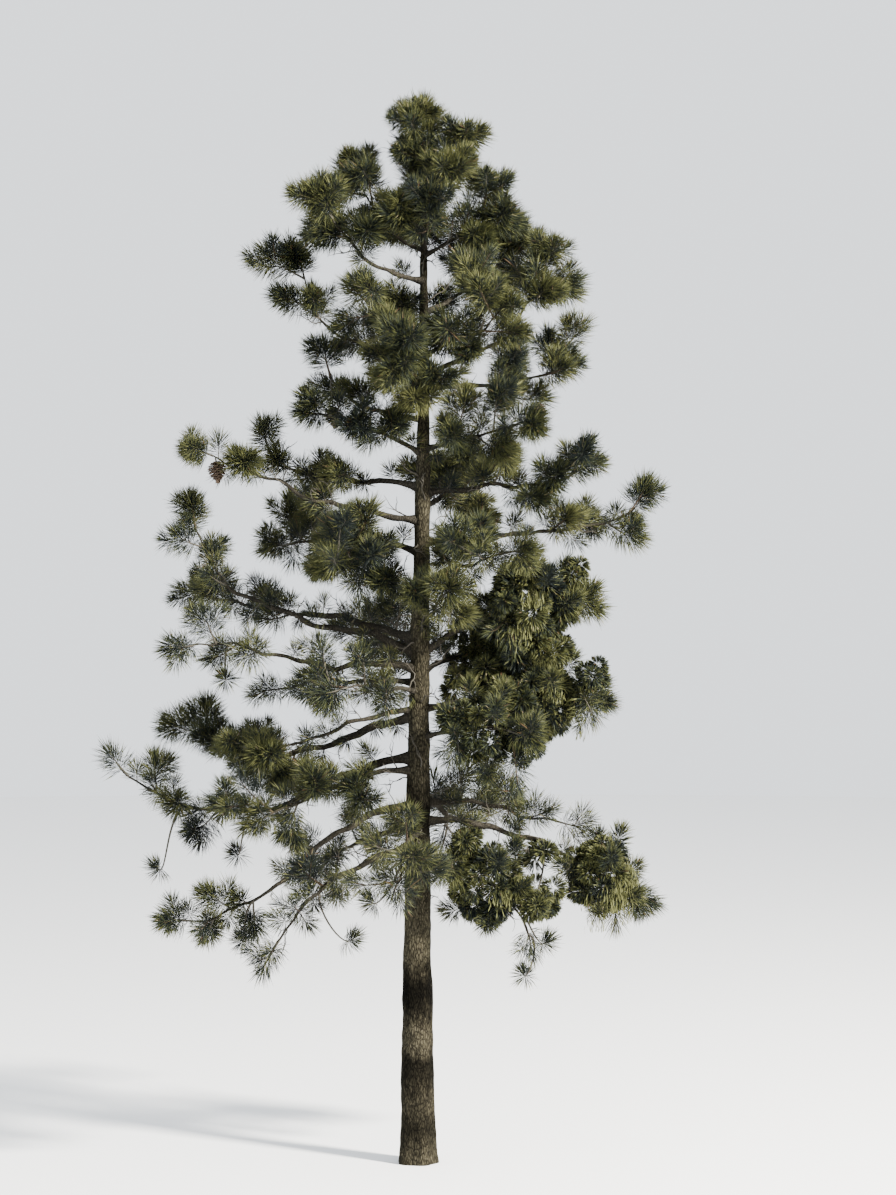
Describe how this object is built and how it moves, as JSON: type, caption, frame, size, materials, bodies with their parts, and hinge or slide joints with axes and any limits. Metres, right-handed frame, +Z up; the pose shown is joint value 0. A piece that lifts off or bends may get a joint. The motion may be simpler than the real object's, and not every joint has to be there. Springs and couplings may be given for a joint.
{
  "type": "pine tree",
  "caption": "A tall open-grown yellow pine with a straight grey-brown trunk, bare boughs, and tufts of long needles that stand at the boughs' tips and grow denser low on one side.",
  "frame": {"origin": "middle of the trunk's flat cut at ground level", "axes": "+Z up the trunk; +X towards the side with the dense low foliage; +Y towards the back, so the front faces -Y"},
  "size_m": [5.8948, 4.0193, 10.9872],
  "materials": {
    "trunk_bark": "rough furrowed bark, matt",
    "bough_bark": "scaly bark, matt",
    "needles": "olive green needles, slightly waxy",
    "dense_needles": "dark green needles, slightly waxy"
  },
  "bodies": {
    "root": {"trunk": "trunk_bark", "bough_left_arched": "bough_bark", "bough_left_cone": "bough_bark", "bough_left_high": "bough_bark", "bough_left_hook": "bough_bark", "bough_left_level": "bough_bark", "bough_left_long": "bough_bark", "bough_left_sloping": "bough_bark", "bough_left_top": "bough_bark", "bough_right_high": "bough_bark", "bough_right_long": "bough_bark", "needles_back_foot": "needles", "needles_back_high": "needles", "needles_back_low": "needles", "needles_back_mid": "needles", "needles_front_high": "needles", "needles_front_low": "needles", "needles_front_mid": "needles", "needles_left_arched": "needles", "needles_left_cone": "needles", "needles_left_fore": "needles", "needles_left_hanging": "needles", "needles_left_heart": "needles", "needles_left_heavy": "needles", "needles_left_high": "needles", "needles_left_hook": "needles", "needles_left_inner": "needles", "needles_left_knee": "needles", "needles_left_level": "needles", "needles_left_long": "needles", "needles_left_mid": "needles", "needles_left_outer": "needles", "needles_left_raised": "needles", "needles_left_rear": "needles", "needles_left_skirt": "needles", "needles_left_sloping": "needles", "needles_left_straight": "needles", "needles_left_top": "needles", "needles_left_upper": "needles", "needles_left_veil": "needles", "needles_right_cone": "needles", "needles_right_fore": "needles", "needles_right_heart": "dense_needles", "needles_right_high": "needles", "needles_right_inner": "needles", "needles_right_long": "needles", "needles_right_low": "needles", "needles_right_mid": "needles", "needles_right_outer": "dense_needles", "needles_right_rear": "dense_needles", "needles_right_shoulder": "dense_needles", "needles_right_skirt": "dense_needles", "needles_right_twin": "needles", "needles_right_under": "dense_needles", "needles_right_upper": "needles", "needles_right_veil": "needles", "needles_top": "needles", "needles_top_back": "needles", "needles_top_front": "needles", "needles_top_right": "needles"}
  },
  "joints": []
}
